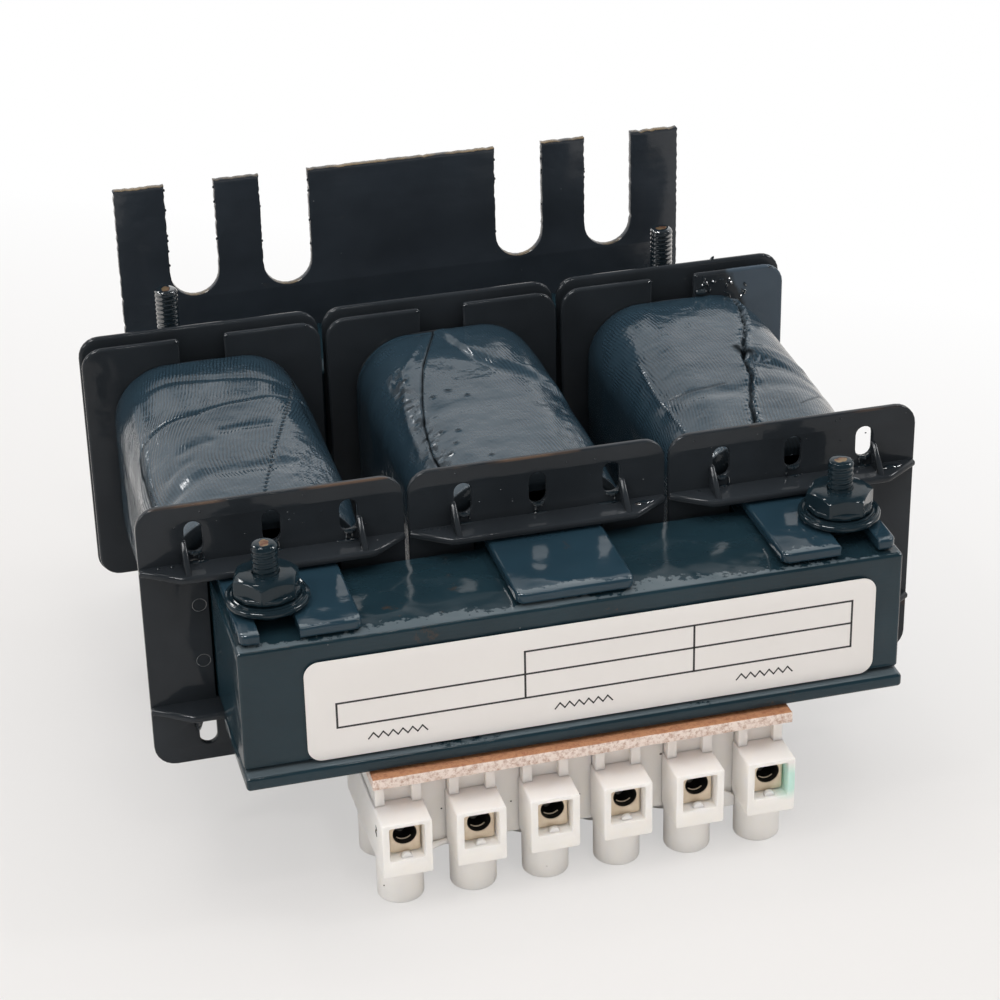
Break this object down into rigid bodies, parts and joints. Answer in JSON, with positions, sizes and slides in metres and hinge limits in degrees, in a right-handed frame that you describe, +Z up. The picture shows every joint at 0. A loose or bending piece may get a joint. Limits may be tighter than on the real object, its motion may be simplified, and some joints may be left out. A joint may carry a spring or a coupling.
{
  "type": "line reactor",
  "caption": "Three-phase line reactor: a laminated core with three taped coils on moulded bobbins, a slotted mounting plate and a terminal strip.",
  "frame": {"origin": "centre of the mounting plate's back face", "axes": "+Z up with the mounting plate upright, +Y out of the plate's back, label face towards -Y, +X to the right of someone who faces the label"},
  "size_m": [0.1076, 0.1025, 0.0682],
  "materials": {
    "varnished_core": "glossy dark blue dip varnish over steel sheets",
    "varnished_plate": "glossy dark blue dip varnish over cut steel",
    "varnished_hardware": "glossy dark blue dip varnish over steel",
    "varnished_bobbin": "glossy dark blue dip varnish over moulded nylon",
    "varnished_tape": "blue-grey woven tape soaked in varnish",
    "varnished_wedge": "glossy dark blue dip varnish over laminate",
    "copper_wire": "enamelled copper wire",
    "gap_card": "plain pressboard",
    "board_fibre": "brown fibre board with pale cut edges",
    "polyamide": "translucent white polyamide",
    "clamp_metal": "plain",
    "screw_metal": "plated",
    "sleeving": "varnished glass sleeving",
    "label_film": "white film, bare of words"
  },
  "bodies": {
    "root": {"core_e_stack": "varnished_core", "core_i_stack": "varnished_core", "gap_card_left": "gap_card", "gap_card_middle": "gap_card", "gap_card_right": "gap_card", "bobbin_left": "varnished_bobbin", "bobbin_middle": "varnished_bobbin", "bobbin_right": "varnished_bobbin", "winding_left": "copper_wire", "winding_middle": "copper_wire", "winding_right": "copper_wire", "coil_wrap_left": "varnished_tape", "coil_wrap_middle": "varnished_tape", "coil_wrap_right": "varnished_tape", "wedge_left": "varnished_wedge", "wedge_middle": "varnished_wedge", "wedge_right": "varnished_wedge", "mounting_plate": "varnished_plate", "terminal_bracket": "varnished_core", "terminal_board": "board_fibre", "terminal_housing": "polyamide", "clamp_tube_1": "clamp_metal", "clamp_tube_2": "clamp_metal", "clamp_tube_3": "clamp_metal", "clamp_tube_4": "clamp_metal", "clamp_tube_5": "clamp_metal", "clamp_tube_6": "clamp_metal", "terminal_screw_1_front": "screw_metal", "terminal_screw_1_rear": "screw_metal", "terminal_screw_2_front": "screw_metal", "terminal_screw_2_rear": "screw_metal", "terminal_screw_3_front": "screw_metal", "terminal_screw_3_rear": "screw_metal", "terminal_screw_4_front": "screw_metal", "terminal_screw_4_rear": "screw_metal", "terminal_screw_5_front": "screw_metal", "terminal_screw_5_rear": "screw_metal", "terminal_screw_6_front": "screw_metal", "terminal_screw_6_rear": "screw_metal", "strip_rivet_left": "clamp_metal", "strip_rivet_right": "clamp_metal", "bolt_front_left": "varnished_hardware", "bolt_front_right": "varnished_hardware", "bolt_rear_left": "varnished_hardware", "bolt_rear_right": "varnished_hardware", "washer_front_left": "varnished_hardware", "washer_front_right": "varnished_hardware", "washer_rear_left": "varnished_hardware", "washer_rear_right": "varnished_hardware", "nut_front_left": "varnished_hardware", "nut_front_right": "varnished_hardware", "nut_rear_left": "varnished_hardware", "nut_rear_right": "varnished_hardware", "lead_left_start": "sleeving", "lead_left_finish": "sleeving", "lead_middle_start": "sleeving", "lead_middle_finish": "sleeving", "lead_right_start": "sleeving", "lead_right_finish": "sleeving", "rating_label": "label_film"}
  },
  "joints": []
}
